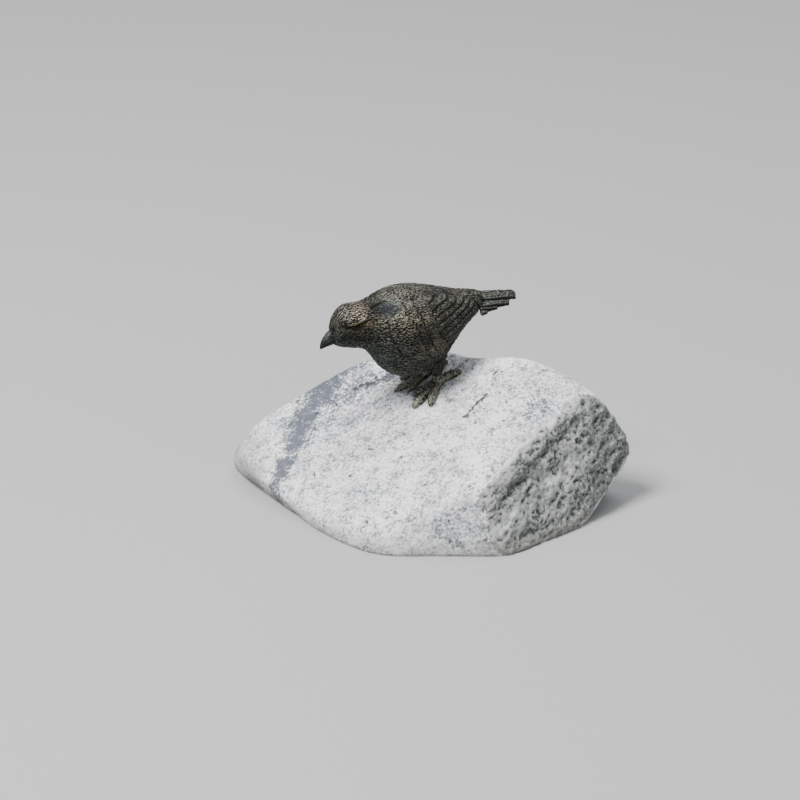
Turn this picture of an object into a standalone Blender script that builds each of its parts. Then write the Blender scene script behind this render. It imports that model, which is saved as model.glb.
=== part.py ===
"""Cast bronze house sparrow, life size, standing head-down-slope on a boulder of pale marble.

Run with: blender --background --python part.py

Lengths are in millimetres in the tables below and become metres in point(). The stone is modelled
in the row frame: its underside lies on z = 0 and its box is centred on the origin, +X along its
long side. The bird is modelled in its own frame (u forward, v to its left, w up, origin on the
stone midway between the feet) and is hung on an empty that carries it to its place on the stone.
"""

import math

import bmesh
import bpy
from mathutils import Matrix, Vector, noise

MM = 0.001
GAP = 0.3  # parting gap between neighbouring pieces

# ---- the stone ------------------------------------------------------------------------------
STONE_LENGTH = 282.4
STONE_DEPTH = 191.3
STONE_HEART = Vector((1.2, 4.1, 36.0))  # the point that its faces are seen from
STONE_WEAR = 19.0  # the higher, the sharper the edges between its faces
STONE_CUTS = 48  # rows of facets along each side of the starting cube
STONE_KEPT = 0.085  # share of those facets that is left once flat places are thinned out
SEAT = Vector((2.6, 35.6, 77.3))  # the bird's place on the stone
SEAT_SLOPE = Vector((0.39, 0.43))  # rise of the seat for each millimetre along X and Y
SEAT_MIDDLE = Vector((-6.0, -4.0, -4.0))  # from the bird's place to the middle of the flat
SEAT_RADIUS = 30.0  # the patch round the seat that is truly flat
SEAT_FADE = 16.0

# Each worn face: its bearing from +X and its lean from straight up, in degrees, and its
# distance from the heart.
STONE_FACES = {
    "seat_slope": (222, 29, 27),
    "crown": (222, 27, 31),
    "right_shoulder": (291, 29, 60),
    "right_break": (312, 70, 88),
    "front": (267, 80, 90),
    "front_left": (228, 64, 75),
    "left_nose": (185, 54, 99),
    "left_under": (210, 125, 100),
    "back_left": (108, 76, 99),
    "back": (65, 67, 70),
    "back_right": (68, 89, 65),
    "right_end": (19, 62, 132),
    "right_under": (351, 130, 111),
    "underside": (0, 180, 42),
}
LUMP_SIZE = 46.0
LUMP_HEIGHT = 1.8

# ---- the bird's place and stance --------------------------------------------------------------
HEADING = math.radians(200.0)  # of the bill, from +X

# Side view of head, neck and trunk: u, top, bottom, half width.
BODY = (
    (-34.0, 63.4, 53.5, 7.2),
    (-30.0, 64.0, 50.0, 9.4),
    (-24.0, 64.9, 43.5, 12.2),
    (-15.0, 66.6, 32.5, 16.2),
    (-6.0, 68.8, 21.5, 20.0),
    (3.0, 71.3, 13.4, 23.2),
    (12.0, 73.2, 9.4, 25.4),
    (21.0, 74.0, 8.4, 26.2),
    (29.0, 73.6, 9.6, 25.2),
    (36.0, 72.2, 13.2, 22.8),
    (42.0, 70.4, 18.8, 19.6),
    (47.0, 67.9, 26.6, 16.4),
    (52.0, 65.6, 32.0, 14.2),
    (57.0, 65.4, 33.6, 13.4),
    (62.0, 65.6, 34.4, 13.0),
    (67.0, 64.4, 35.4, 12.2),
    (71.0, 61.2, 36.4, 10.8),
    (73.8, 56.4, 37.6, 8.2),
    (75.6, 50.8, 39.4, 5.0),
)
BODY_RINGS = 34
RING_POINTS = 22
BODY_SQUARENESS = 2.15  # 2 is an ellipse
SEAMS = {  # cutting planes across the body: a point (u, w) and a normal (u, w)
    "head": ((51.0, 50.0), (0.985, 0.174)),
    "neck": ((42.5, 48.0), (0.940, 0.342)),
}

# ---- bill and eyes ------------------------------------------------------------------------------
BILL_ROOT = Vector((75.0, 0.0, 42.8))
BILL_TIP = Vector((83.4, 0.0, 35.7))
BILL_ROOT_UP = Vector((0.29, 0.0, 0.957))  # the lie of the bill's root in the face
BILL_DEPTH = 11.2
BILL_WIDTH = 8.8
BILL_ARCH = 0.8  # how far the ridge bows up between root and tip
BILL_RINGS = 9
BILL_POINTS = 20
BILL_UPPER_SHARE = 0.58
EYE_CENTRE = Vector((69.6, 9.2, 54.3))
EYE_RADIUS = 2.4

# ---- wings ------------------------------------------------------------------------------------
WING_LIFT = 2.4  # how far the folded wing stands off the trunk
# The wing's outline from the side: u, upper edge, lower edge.
WING_OUTLINE = (
    (-29.5, 55.4, 52.8),
    (-26.0, 60.2, 50.8),
    (-20.0, 63.2, 47.0),
    (-12.0, 65.6, 41.0),
    (-3.0, 67.8, 34.6),
    (6.0, 69.4, 29.6),
    (15.0, 70.0, 27.6),
    (24.0, 69.4, 29.4),
    (31.0, 67.0, 34.4),
    (36.5, 62.2, 42.6),
    (39.5, 56.6, 49.6),
)
WING_RINGS = 24
WING_ROWS = 9
WING_THICKNESS = 3.4
WING_MIDLINE = 0.7  # each wing keeps this far from the bird's middle

# ---- tail -----------------------------------------------------------------------------------
TAIL_ROOT = -31.0
TAIL_TIPS = (-61.6, -55.5, -45.4, -37.2)  # centre feather to outermost, on each side
TAIL_SPLITS = (0.0, 0.47, 0.76, 0.88, 1.0)  # the feathers' edges, as shares of the half width
TAIL_ROOT_HEIGHT = 64.4
TAIL_TIP_HEIGHT = 61.6
TAIL_ROOT_HALF_WIDTH = 13.0
TAIL_TIP_HALF_WIDTH = 10.6
TAIL_ROOF = 1.0  # drop for each millimetre away from the middle
TAIL_THICKNESS = 3.6
TAIL_TAPER = 0.50  # share of the thickness that is left at the tips
TAIL_ROWS = 4
TAIL_BARB_ROUND = 1.6  # how far a feather's middle runs past its edges
TAIL_STEP = 0.6  # each feather's outer edge lies this much over its outer neighbour

# ---- legs and feet -----------------------------------------------------------------------------
THIGH_TOP = Vector((2.0, 9.5, 24.0))
THIGH_LENGTH_SHARE = 0.60  # of the way from its top down to the foot
THIGH_RADII = (8.0, 7.2, 5.7, 4.5, 3.6)
SHANK_RADIUS = 2.6
TUBE_POINTS = 10
TOE_ROOT_HEIGHT = 2.3
ANKLE_LENGTH = 4.6
PALM_RADIUS = 3.8
FEET = {  # the toes' root on the seat (u, v), and each toe's turn out from straight ahead
    "left": ((-2.6, 5.6), {"middle": 19.0, "outer": 51.0, "inner": -9.0, "hind": 170.0}),
    "right": ((1.6, -8.5), {"middle": 4.0, "outer": 33.0, "inner": -18.0, "hind": 183.0}),
}
TOES = {  # length, radius at the root
    "middle": (23.0, 2.5),
    "outer": (19.0, 2.4),
    "inner": (17.8, 2.2),
    "hind": (15.6, 2.6),
}
# Along a toe: share of its length, share of its root radius, share of the root's height.
TOE_FORM = (
    (0.00, 0.95, 1.00),
    (0.14, 1.00, 0.98),
    (0.27, 0.88, 0.92),
    (0.40, 1.00, 0.92),
    (0.53, 0.86, 0.84),
    (0.66, 0.96, 0.84),
    (0.80, 0.84, 0.80),
    (0.92, 0.60, 0.62),
    (1.00, 0.26, 0.34),
)

COLOURS = {  # base colour, metallic, roughness
    "bronze": ((0.105, 0.088, 0.070), 0.85, 0.48),
    "bronze_dark": ((0.045, 0.045, 0.040), 0.75, 0.45),
    "marble": ((0.640, 0.645, 0.660), 0.0, 0.62),
}


def point(u, v, w):
    """A point given in millimetres, in metres."""
    return Vector((u, v, w)) * MM


def smooth_table(rows, at):
    """Values of a table's other columns where its first column is `at`, on a Catmull-Rom curve."""
    last = len(rows) - 1
    at = min(max(at, rows[0][0]), rows[last][0])
    i = next(k for k in range(last) if at <= rows[k + 1][0])
    before, left, right, after = (rows[min(max(i + k, 0), last)] for k in (-1, 0, 1, 2))
    span = right[0] - left[0]
    t = (at - left[0]) / span
    values = []
    for column in range(1, len(left)):
        slope_in = (right[column] - before[column]) / (right[0] - before[0]) * span
        slope_out = (after[column] - left[column]) / (after[0] - left[0]) * span
        start, end = left[column], right[column]
        values.append(
            start * (2 * t**3 - 3 * t**2 + 1)
            + end * (3 * t**2 - 2 * t**3)
            + slope_in * (t**3 - 2 * t**2 + t)
            + slope_out * (t**3 - t**2)
        )
    return values


def signed_power(x, exponent):
    """|x| raised to the exponent, with the sign of x."""
    return math.copysign(abs(x) ** exponent, x)


def body_ring(profile, u, grow=0.0):
    """The closed section of a body-like profile at u, made larger all round by `grow`."""
    top, bottom, half_width = smooth_table(profile, u)
    middle, half_height = (top + bottom) / 2, (top - bottom) / 2 + grow
    ring = []
    for k in range(RING_POINTS):
        turn = 2 * math.pi * k / RING_POINTS
        v = (half_width + grow) * signed_power(math.cos(turn), 2 / BODY_SQUARENESS)
        w = middle + half_height * signed_power(math.sin(turn), 2 / BODY_SQUARENESS)
        ring.append(point(u, v, w))
    return ring


def shell_side(u, w):
    """How far out the folded wings' outside is, at a height w."""
    top, bottom, half_width = smooth_table(BODY, u)
    rise = abs(w - (top + bottom) / 2) / ((top - bottom) / 2 + WING_LIFT)
    return (half_width + WING_LIFT) * max(0.0, 1 - rise**BODY_SQUARENESS) ** (1 / BODY_SQUARENESS)


def loft(rings):
    """A closed mesh through rings of equal size, with a flat cap on each end, facing out."""
    mesh = bmesh.new()
    rows = [[mesh.verts.new(p) for p in ring] for ring in rings]
    count = len(rings[0])
    for near, far in zip(rows, rows[1:]):
        for k in range(count):
            mesh.faces.new((near[k], near[(k + 1) % count], far[(k + 1) % count], far[k]))
    mesh.faces.new(rows[0])
    mesh.faces.new(rows[-1])
    bmesh.ops.recalc_face_normals(mesh, faces=mesh.faces)
    return mesh


def slab(outer, inner):
    """A closed mesh between two grids of points of the same size, facing out."""
    mesh = bmesh.new()
    grids = [[[mesh.verts.new(p) for p in row] for row in grid] for grid in (outer, inner)]
    rows, columns = len(outer), len(outer[0])
    for grid in grids:
        for i in range(rows - 1):
            for j in range(columns - 1):
                mesh.faces.new((grid[i][j], grid[i][j + 1], grid[i + 1][j + 1], grid[i + 1][j]))
    border = [(i, 0) for i in range(rows)]
    border += [(rows - 1, j) for j in range(1, columns)]
    border += [(i, columns - 1) for i in range(rows - 2, -1, -1)]
    border += [(0, j) for j in range(columns - 2, 0, -1)]
    for (i, j), (k, m) in zip(border, border[1:] + border[:1]):
        mesh.faces.new((grids[0][i][j], grids[0][k][m], grids[1][k][m], grids[1][i][j]))
    bmesh.ops.recalc_face_normals(mesh, faces=mesh.faces)
    return mesh


def tube(centres, radii, flatten=1.0):
    """A closed tube of round sections along a line of points, in metres."""
    rings = []
    for i, (centre, radius) in enumerate(zip(centres, radii)):
        ahead = centres[min(i + 1, len(centres) - 1)] - centres[max(i - 1, 0)]
        turn = ahead.to_track_quat("X", "Z")
        ring = []
        for k in range(TUBE_POINTS):
            a = 2 * math.pi * k / TUBE_POINTS
            across = Vector((0.0, math.cos(a) * radius, math.sin(a) * radius * flatten))
            ring.append(centre + turn @ across)
        rings.append(ring)
    return loft(rings)


def slice_off(mesh, place, normal):
    """Removes the side of a closed mesh that the normal points to, and closes the cut."""
    cut = bmesh.ops.bisect_plane(
        mesh,
        geom=mesh.verts[:] + mesh.edges[:] + mesh.faces[:],
        plane_co=place,
        plane_no=normal,
        clear_outer=True,
    )
    edges = [e for e in cut["geom_cut"] if isinstance(e, bmesh.types.BMEdge)]
    bmesh.ops.contextual_create(mesh, geom=edges)
    bmesh.ops.recalc_face_normals(mesh, faces=mesh.faces)
    return mesh


def mirrored(mesh):
    """The other-hand copy of a mesh that stands on the bird's left."""
    other = mesh.copy()
    bmesh.ops.scale(other, vec=(1.0, -1.0, 1.0), verts=other.verts)
    bmesh.ops.recalc_face_normals(other, faces=other.faces)
    return other


def clear_scene():
    for old in list(bpy.data.objects):
        bpy.data.objects.remove(old)


def make_collection(name):
    made = bpy.data.collections.new(name)
    bpy.context.scene.collection.children.link(made)
    return made


def make_material(name):
    colour, metallic, roughness = COLOURS[name]
    made = bpy.data.materials.new(name)
    made.use_nodes = True
    shader = made.node_tree.nodes["Principled BSDF"]
    shader.inputs["Base Color"].default_value = (*colour, 1.0)
    shader.inputs["Metallic"].default_value = metallic
    shader.inputs["Roughness"].default_value = roughness
    made.diffuse_color = (*colour, 1.0)
    return made


class Builder:
    """Turns meshes into named objects, on the bird's empty or in the row frame."""

    def __init__(self):
        self.parts = make_collection("bronze_sparrow_on_stone")
        self.cutters = make_collection("cutters")
        self.materials = {name: make_material(name) for name in COLOURS}
        self.bird = bpy.data.objects.new("bird_frame", None)
        self.bird.location = SEAT * MM
        self.bird.rotation_euler = (0.0, 0.0, HEADING)
        self.parts.objects.link(self.bird)

    def add(self, name, mesh, material, on_bird=True):
        data = bpy.data.meshes.new(name)
        mesh.to_mesh(data)
        mesh.free()
        data.materials.append(self.materials[material])
        data.shade_smooth()
        data.set_sharp_from_angle(angle=math.radians(50.0))
        made = bpy.data.objects.new(name, data)
        self.parts.objects.link(made)
        if on_bird:
            made.parent = self.bird
        return made

    def cutter(self, name, mesh, on_bird=True):
        made = self.add(name, mesh, "bronze_dark", on_bird)
        self.parts.objects.unlink(made)
        self.cutters.objects.link(made)
        made.hide_render = True
        made.display_type = "WIRE"
        return made

    def combine(self, target, other, operation):
        modifier = target.modifiers.new(operation.lower() + "_" + other.name, "BOOLEAN")
        modifier.operation = operation
        modifier.object = other


def facing(bearing, lean, reach):
    """A face as the way it looks and its distance from the stone's heart."""
    turn, tilt = math.radians(bearing), math.radians(lean)
    across = math.sin(tilt)
    return Vector((across * math.cos(turn), across * math.sin(turn), math.cos(tilt))), reach


def worn_radius(direction, faces):
    """How far the stone reaches from its heart: the faces' common inside with rounded edges."""
    total = sum(max(0.0, look.dot(direction) / reach) ** STONE_WEAR for look, reach in faces)
    return total ** (-1 / STONE_WEAR)


def seat_plane_height(x, y):
    """Height of the bird's sloping seat above a place on the ground, in millimetres."""
    return SEAT.z + (x - SEAT.x) * SEAT_SLOPE.x + (y - SEAT.y) * SEAT_SLOPE.y


def fade(distance, start, width):
    """1 up to `start`, easing to 0 over `width`."""
    t = min(max((distance - start) / width, 0.0), 1.0)
    return 1 - t * t * (3 - 2 * t)


def build_stone(builder):
    """A worn boulder: a cube's skin of facets thrown out onto the stone's rounded faces."""
    faces = [facing(*face) for face in STONE_FACES.values()]
    mesh = bmesh.new()
    bmesh.ops.create_cube(mesh, size=2.0)
    bmesh.ops.subdivide_edges(mesh, edges=mesh.edges[:], cuts=STONE_CUTS, use_grid_fill=True)
    for vertex in mesh.verts:
        direction = Vector(math.tan(c * math.pi / 4) for c in vertex.co).normalized()
        place = STONE_HEART + direction * worn_radius(direction, faces)
        lump = noise.noise(place / LUMP_SIZE) * LUMP_HEIGHT
        vertex.co = place + direction * lump
    size = (STONE_LENGTH, STONE_DEPTH)
    for axis in (0, 1):
        low = min(v.co[axis] for v in mesh.verts)
        high = max(v.co[axis] for v in mesh.verts)
        for vertex in mesh.verts:
            vertex.co[axis] = ((vertex.co[axis] - low) / (high - low) - 0.5) * size[axis]
    for vertex in mesh.verts:
        away = (vertex.co - SEAT - SEAT_MIDDLE).length
        flat = fade(away, SEAT_RADIUS, SEAT_FADE)
        seat = seat_plane_height(vertex.co.x, vertex.co.y)
        vertex.co.z += (seat - vertex.co.z) * flat
        vertex.co *= MM
    bmesh.ops.recalc_face_normals(mesh, faces=mesh.faces)
    stone = builder.add("stone_base", mesh, "marble", on_bird=False)
    thinning = stone.modifiers.new("thinning", "DECIMATE")
    thinning.ratio = STONE_KEPT
    ground = bmesh.new()
    bmesh.ops.create_cube(ground, size=1.0, matrix=Matrix.Translation((0.0, 0.0, -0.5)))
    builder.combine(stone, builder.cutter("level_ground", ground, on_bird=False), "DIFFERENCE")


def body_mesh(grow=0.0):
    """Head, neck and trunk as one closed form, with rings closer together at both ends."""
    start, end = BODY[0][0], BODY[-1][0]
    rings = []
    for k in range(BODY_RINGS):
        share = k / (BODY_RINGS - 1)
        eased = share + 0.35 * (share * share * (3 - 2 * share) - share)
        rings.append(body_ring(BODY, start + (end - start) * eased, grow))
    return loft(rings)


def seam(name, side):
    """Place and normal of a parting plane, moved half the gap to one side."""
    (u, w), (normal_u, normal_w) = SEAMS[name]
    normal = Vector((normal_u, 0.0, normal_w)).normalized()
    return point(u, 0.0, w) + normal * side * GAP / 2 * MM, normal


def build_body(builder):
    """The body parted into head, neck and trunk, with sockets for the eyes."""
    head_ahead, head_normal = seam("head", 1)
    head_behind, _ = seam("head", -1)
    neck_ahead, neck_normal = seam("neck", 1)
    neck_behind, _ = seam("neck", -1)
    bill_cut = bill_cutter(builder)
    head = builder.add("head", slice_off(body_mesh(), head_ahead, -head_normal), "bronze")
    builder.combine(head, bill_cut, "DIFFERENCE")
    for side, sign in (("left", 1.0), ("right", -1.0)):
        centre = Vector((EYE_CENTRE.x, EYE_CENTRE.y * sign, EYE_CENTRE.z)) * MM
        socket = ball(centre, EYE_RADIUS + GAP)
        builder.combine(head, builder.cutter("socket_" + side, socket), "DIFFERENCE")
        builder.add("eye_" + side, ball(centre, EYE_RADIUS), "bronze_dark")
    neck = slice_off(body_mesh(), head_behind, head_normal)
    builder.add("neck", slice_off(neck, neck_ahead, -neck_normal), "bronze")
    builder.add("trunk", slice_off(body_mesh(), neck_behind, neck_normal), "bronze")


def ball(centre, radius):
    mesh = bmesh.new()
    place = Matrix.Translation(centre)
    bmesh.ops.create_uvsphere(
        mesh, u_segments=14, v_segments=8, radius=radius * MM, matrix=place
    )
    return mesh


def bill_mesh(grow=0.0, root_back=0.0):
    """The whole bill: a short cone with a curved ridge, deeper than wide."""
    axis = BILL_TIP - BILL_ROOT
    tip_up = axis.to_track_quat("X", "Z") @ Vector((0.0, 0.0, 1.0))
    rings = []
    for k in range(BILL_RINGS):
        share = k / (BILL_RINGS - 1)
        swell = (1 - share**1.35) ** 0.72
        along = axis * share - axis.normalized() * root_back * (1 - share)
        half_depth = max(BILL_DEPTH / 2 * swell, 0.35) + grow
        half_width = max(BILL_WIDTH / 2 * swell, 0.3) + grow
        up = BILL_ROOT_UP.lerp(tip_up, share).normalized()
        centre = BILL_ROOT + along + tip_up * BILL_ARCH * math.sin(math.pi * share)
        ring = []
        for i in range(BILL_POINTS):
            a = 2 * math.pi * i / BILL_POINTS
            across = Vector((0.0, half_width * math.cos(a), 0.0)) + up * half_depth * math.sin(a)
            ring.append((centre + across) * MM)
        rings.append(ring)
    return loft(rings)


def bill_cutter(builder):
    """The bill's root, a little enlarged, to be taken out of the head."""
    return builder.cutter("bill_socket", bill_mesh(grow=GAP, root_back=1.6))


def build_bill(builder):
    """Upper and lower mandible, parted along the gape."""
    corner = BILL_ROOT - BILL_ROOT_UP * BILL_DEPTH * (BILL_UPPER_SHARE - 0.5)
    gape = (BILL_TIP - corner).normalized()
    normal = gape.to_track_quat("X", "Z") @ Vector((0.0, 0.0, 1.0))
    upper = slice_off(bill_mesh(root_back=1.0), (corner + normal * GAP / 2) * MM, -normal)
    lower = slice_off(bill_mesh(root_back=1.0), (corner - normal * GAP / 2) * MM, normal)
    builder.add("bill_upper", upper, "bronze")
    builder.add("bill_lower", lower, "bronze")


def wing_mesh():
    """The left wing's shield of coverts, tertials and secondaries, folded on the flank."""
    start, end = WING_OUTLINE[0][0], WING_OUTLINE[-1][0]
    outer, inner = [], []
    for k in range(WING_RINGS):
        share = k / (WING_RINGS - 1)
        u = start + (end - start) * share
        upper, lower = smooth_table(WING_OUTLINE, u)
        top, bottom, _ = smooth_table(BODY, u)
        middle = (top + bottom) / 2
        row_out, row_in = [], []
        for j in range(WING_ROWS):
            w = upper + (lower - upper) * j / (WING_ROWS - 1)
            v = max(shell_side(u, w), WING_MIDLINE)
            rim = min(j, WING_ROWS - 1 - j, k, WING_RINGS - 1 - k)
            sink = (0.9, 0.25, 0.0)[min(rim, 2)]
            outward = Vector((0.0, v, w - middle)).normalized()
            out_place = Vector((u, v, w)) - outward * sink
            in_place = out_place - outward * WING_THICKNESS
            row_out.append(out_place * MM)
            row_in.append(Vector((in_place.x, max(in_place.y, WING_MIDLINE * 0.6), in_place.z)) * MM)
        outer.append(row_out)
        inner.append(row_in)
    return slab(outer, inner)


def build_wings(builder):
    """Both folded wings, hollowed to fit the trunk."""
    trunk = builder.cutter("trunk_clearance", body_mesh(grow=GAP))
    for side, wing in (("left", wing_mesh()), ("right", mirrored(wing_mesh()))):
        builder.cutter(f"wing_{side}_clearance", grown(wing.copy(), GAP))
        builder.combine(builder.add("wing_" + side, wing, "bronze"), trunk, "DIFFERENCE")


def grown(mesh, by):
    """The mesh with every point moved out along its normal."""
    mesh.normal_update()
    moves = [(vertex, vertex.normal.copy()) for vertex in mesh.verts]
    for vertex, normal in moves:
        vertex.co += normal * by * MM
    return mesh


def tail_columns():
    """Across the tail: (v at the root, v at the tip, tip's u, step up) for each line along it."""
    half = []
    for i, tip in enumerate(TAIL_TIPS):
        for share, shy in ((0.03, 1.0), (0.3, 0.25), (0.7, 0.25), (0.97, 1.0)):
            inner, outer = TAIL_SPLITS[i], TAIL_SPLITS[i + 1]
            across = inner + (outer - inner) * share
            root = TAIL_ROOT_HALF_WIDTH * across
            end = TAIL_TIP_HALF_WIDTH * across
            half.append((root, end, tip + TAIL_BARB_ROUND * shy, TAIL_STEP * share))
    other = [(-root, -end, tip, step) for root, end, tip, step in half]
    return other[::-1] + half


def build_tail(builder):
    """The tail: a thick roof of lapped feathers, the middle ones longest."""
    top, under = [], []
    for root_v, tip_v, tip_u, step in tail_columns():
        row_top, row_under = [], []
        for k in range(TAIL_ROWS):
            share = k / (TAIL_ROWS - 1)
            along = share * (tip_u - TAIL_ROOT) / (TAIL_TIPS[0] - TAIL_ROOT)
            v = root_v + (tip_v - root_v) * along
            u = TAIL_ROOT + (TAIL_TIPS[0] - TAIL_ROOT) * along
            height = TAIL_ROOT_HEIGHT + (TAIL_TIP_HEIGHT - TAIL_ROOT_HEIGHT) * along
            w = height - abs(v) * TAIL_ROOF + step
            thick = TAIL_THICKNESS * (1 - (1 - TAIL_TAPER) * share)
            row_top.append(point(u, v, w))
            row_under.append(point(u, v, w - thick - step))
        top.append(row_top)
        under.append(row_under)
    tail = builder.add("tail", slab(top, under), "bronze")
    for name in ("trunk", "wing_left", "wing_right"):
        builder.combine(tail, bpy.data.objects[name + "_clearance"], "DIFFERENCE")


def seat_falls():
    """How much the seat falls for each millimetre ahead of the bird, and to its left."""
    ahead = Vector((math.cos(HEADING), math.sin(HEADING)))
    left = Vector((-ahead.y, ahead.x))
    return -SEAT_SLOPE.dot(ahead), -SEAT_SLOPE.dot(left)


def seat_point(u, v, height=0.0):
    """A place at a height square off the seat, in the bird's own frame, in millimetres."""
    fall_ahead, fall_left = seat_falls()
    return Vector((u, v, -u * fall_ahead - v * fall_left)) + seat_normal() * height


def seat_normal():
    """The way the seat looks, in the bird's own frame."""
    fall_ahead, fall_left = seat_falls()
    return Vector((fall_ahead, fall_left, 1.0)).normalized()


def build_legs(builder):
    """Feathered thighs, bare shanks and gripping feet, set on the seat's slope."""
    trunk = bpy.data.objects["trunk_clearance"]
    for side, ((foot_u, foot_v), turns) in FEET.items():
        outward = 1.0 if side == "left" else -1.0
        hip = Vector((THIGH_TOP.x, THIGH_TOP.y * outward, THIGH_TOP.z))
        root = seat_point(foot_u, foot_v, TOE_ROOT_HEIGHT)
        down = (root - hip).normalized()
        steps = len(THIGH_RADII) - 1
        drop = (root - hip) * THIGH_LENGTH_SHARE
        thigh_line = [(hip + drop * k / steps) * MM for k in range(steps + 1)]
        thigh = tube(thigh_line, [r * MM for r in THIGH_RADII])
        builder.combine(builder.add("thigh_" + side, thigh, "bronze"), trunk, "DIFFERENCE")
        knee, ankle = hip + drop + down * GAP, root - down * ANKLE_LENGTH
        shank_line = [knee, (knee + ankle) / 2, ankle - down * GAP]
        shank = tube([p * MM for p in shank_line], [SHANK_RADIUS * s * MM for s in (1.25, 1.0, 1.1)])
        builder.add("shank_" + side, shank, "bronze")
        build_foot(builder, side, root, down, turns)


def build_foot(builder, side, root, down, turns):
    """One foot: ankle, palm and four blunt toes joined, cut flat where they meet the stone."""
    outward = 1.0 if side == "left" else -1.0
    ankle_line = [root - down * ANKLE_LENGTH * share for share in (1.0, 0.5, 0.0)]
    ankle_line.append(root + down * 0.6)
    ankle_tube = tube(
        [p * MM for p in ankle_line], [SHANK_RADIUS * s * MM for s in (1.1, 1.25, 1.5, 1.1)]
    )
    foot = builder.add("foot_" + side, ankle_tube, "bronze")
    palm = ball(root * MM, PALM_RADIUS)
    builder.combine(foot, builder.cutter("palm_" + side, palm), "UNION")
    for name, (length, radius) in TOES.items():
        turn = math.radians(turns[name])
        centres, radii = [], []
        for share, girth, height in TOE_FORM:
            u = math.cos(turn) * length * share
            v = math.sin(turn) * length * share * outward
            here = seat_point(u, v, radius * height * 0.92)
            centres.append((here + seat_point(*FEET[side][0])) * MM)
            radii.append(radius * girth * MM)
        toe = builder.cutter(f"toe_{name}_{side}", tube(centres, radii))
        builder.combine(foot, toe, "UNION")
    builder.combine(foot, builder.cutter("ground_" + side, ground_block()), "DIFFERENCE")


def ground_block(reach=60.0):
    """A block whose top lies on the seat, raised by the parting gap."""
    block = bmesh.new()
    bmesh.ops.create_cube(block, size=2 * reach * MM)
    turn = Vector((0.0, 0.0, 1.0)).rotation_difference(seat_normal()).to_matrix().to_4x4()
    place = Matrix.Translation(seat_normal() * (GAP - reach) * MM)
    bmesh.ops.transform(block, matrix=place @ turn, verts=block.verts)
    return block


def main():
    clear_scene()
    builder = Builder()
    build_stone(builder)
    build_body(builder)
    build_bill(builder)
    build_wings(builder)
    build_tail(builder)
    build_legs(builder)


main()
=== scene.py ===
"""Dresses the cast bronze sparrow and the marble boulder that it stands on.

One bronze skin is drawn over the bird's solids and given feathers, a brow, ringed toes and a
patina, with painted shade, a painted sheen and painted glints in it and golden wear that is partly
a painted highlight. The boulder gets its worn face, its broken end, its veins and its grain, with
painted shade in its pits and at its left end. Sizes in the classes are millimetres and meshes are
metres. The bird's own frame is u forward, v to its left and w up, with its origin on the stone
midway between the feet.
"""

import itertools
import logging
import math
from dataclasses import dataclass
from enum import Enum

import bmesh
import bpy
import numpy as np
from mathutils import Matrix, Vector, kdtree


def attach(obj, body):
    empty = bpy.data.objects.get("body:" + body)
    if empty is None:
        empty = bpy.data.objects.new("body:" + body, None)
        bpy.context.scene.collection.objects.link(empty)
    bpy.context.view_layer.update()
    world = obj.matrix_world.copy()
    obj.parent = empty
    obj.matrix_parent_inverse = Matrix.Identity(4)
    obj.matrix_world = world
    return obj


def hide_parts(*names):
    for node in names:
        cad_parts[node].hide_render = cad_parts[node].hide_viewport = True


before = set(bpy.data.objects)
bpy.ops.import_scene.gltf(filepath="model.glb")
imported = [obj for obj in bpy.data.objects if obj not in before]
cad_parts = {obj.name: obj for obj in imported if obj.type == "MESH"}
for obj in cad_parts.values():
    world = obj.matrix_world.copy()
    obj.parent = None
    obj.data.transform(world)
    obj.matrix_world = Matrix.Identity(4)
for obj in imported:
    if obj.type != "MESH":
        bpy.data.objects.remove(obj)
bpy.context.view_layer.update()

Array = np.ndarray
Place = tuple[float, float, float]  # millimetres, but metres in the studio
Way = tuple[float, float, float]  # a direction, or a stretch along each axis
Pair = tuple[float, float]
Colour = tuple[float, float, float]
MM = 0.001
NOISE_GRID = 32
log = logging.getLogger("sparrow")


# ---- small sums ------------------------------------------------------------------------------
def ease(low: float, high: float, values: Array) -> Array:
    """A smooth step from 0 at low to 1 at high, which falls where low is above high."""
    share = np.clip((values - low) / (high - low), 0.0, 1.0)
    return share * share * (3 - 2 * share)


def hill(distance: Array, width: float) -> Array:
    """A bell: 1 at no distance, and about a third at the width."""
    return np.exp(-((distance / width) ** 2))


def unit(vectors: Array) -> Array:
    """Rows of numbers as vectors of length 1."""
    return vectors / np.maximum(np.linalg.norm(vectors, axis=-1, keepdims=True), 1e-9)


def smooth_row(rows: tuple[tuple[float, ...], ...], column: int, at: Array) -> Array:
    """One column of a table, read on a smooth curve.

    Args:
        rows: the table, rising in its first column.
        column: which column to read.
        at: where to read it, in the first column's terms.

    Returns:
        The column's values.
    """
    table = np.array(rows)
    xs, ys = table[:, 0], table[:, column]
    slopes = np.gradient(ys, xs)
    i = np.clip(np.searchsorted(xs, at) - 1, 0, len(xs) - 2)
    span = xs[i + 1] - xs[i]
    t = np.clip((at - xs[i]) / span, 0.0, 1.0)
    return (
        ys[i] * (2 * t**3 - 3 * t**2 + 1)
        + ys[i + 1] * (3 * t**2 - 2 * t**3)
        + slopes[i] * span * (t**3 - 2 * t**2 + t)
        + slopes[i + 1] * span * (t**3 - t**2)
    )


def line_distance(places: Array, points: tuple[tuple[float, ...], ...]) -> Array:
    """How far places are from a line drawn through points.

    Args:
        places: the places, in millimetres.
        points: the line's points, in millimetres.

    Returns:
        The distance from each place to the line.
    """
    best = np.full(len(places), 1e9)
    for start, end in zip(points, points[1:]):
        a, b = np.array(start, float), np.array(end, float)
        along = b - a
        share = np.clip((places - a) @ along / (along @ along), 0.0, 1.0)
        best = np.minimum(best, np.linalg.norm(places - a - share[:, None] * along, axis=1))
    return best


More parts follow.
